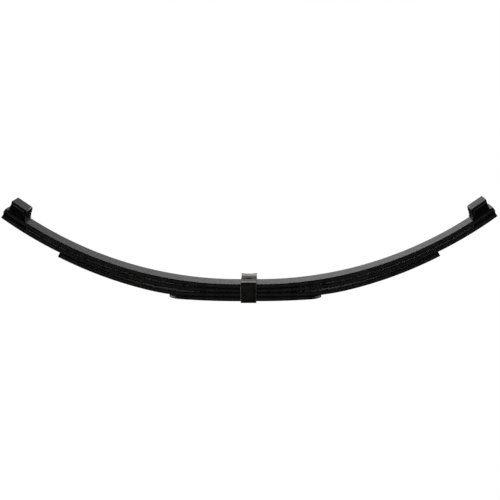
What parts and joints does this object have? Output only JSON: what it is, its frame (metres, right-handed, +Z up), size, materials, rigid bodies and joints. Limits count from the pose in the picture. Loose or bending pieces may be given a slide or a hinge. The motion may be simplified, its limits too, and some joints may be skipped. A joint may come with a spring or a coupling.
{
  "type": "leaf spring",
  "caption": "Arched steel leaf spring with a short helper leaf, a lapped strap round its middle and rubber-cushioned bearing pads at its tips.",
  "frame": {"origin": "underside of the centre band, on the centre pin's axis", "axes": "+X along the spring, +Z up towards the hollow side of the leaves, Y across the leaves"},
  "size_m": [0.726, 0.0502, 0.1528],
  "materials": {
    "leaf_paint": "satin",
    "band_paint": "satin",
    "pad_paint": "satin",
    "pad_rubber": "matte",
    "liner_plastic": "matte",
    "rivet_steel": "satin",
    "pin_steel": "satin"
  },
  "bodies": {
    "centre": {"main_leaf": "leaf_paint", "second_leaf": "leaf_paint", "third_leaf": "leaf_paint", "fourth_leaf": "leaf_paint", "centre_band": "band_paint", "centre_pin": "pin_steel"},
    "left_end": {"left_pad_base": "pad_paint", "left_pad_rubber": "pad_rubber", "left_pad_near_rivet": "rivet_steel", "left_pad_far_rivet": "rivet_steel", "left_tip_liner": "liner_plastic", "left_liner_rivet": "rivet_steel"},
    "left_cap": {"left_pad_cap": "pad_paint"},
    "right_end": {"right_pad_base": "pad_paint", "right_pad_rubber": "pad_rubber", "right_pad_near_rivet": "rivet_steel", "right_pad_far_rivet": "rivet_steel", "right_tip_liner": "liner_plastic", "right_liner_rivet": "rivet_steel"},
    "right_cap": {"right_pad_cap": "pad_paint"}
  },
  "joints": [
    {"name": "left_flex", "type": "hinge", "parent": "centre", "child": "left_end", "pos_m": [-0.17983, 0, 0.04499], "axis": [0, -1, 0], "range_deg": [0, 15], "stiffness_Nm_per_rad": 990, "deforming": ["main_leaf", "second_leaf", "third_leaf", "fourth_leaf"]},
    {"name": "left_pad_press", "type": "slide", "parent": "left_end", "child": "left_cap", "axis": [-0.5696, 0, -0.8219], "range_m": [0, 0.0025], "stiffness_N_per_m": 1800000, "deforming": ["left_pad_rubber"]},
    {"name": "right_flex", "type": "hinge", "parent": "centre", "child": "right_end", "pos_m": [0.17983, 0, 0.04499], "axis": [0, 1, 0], "range_deg": [0, 15], "stiffness_Nm_per_rad": 990, "deforming": ["main_leaf", "second_leaf", "third_leaf", "fourth_leaf"]},
    {"name": "right_pad_press", "type": "slide", "parent": "right_end", "child": "right_cap", "axis": [0.5696, 0, -0.8219], "range_m": [0, 0.0025], "stiffness_N_per_m": 1800000, "deforming": ["right_pad_rubber"]}
  ]
}
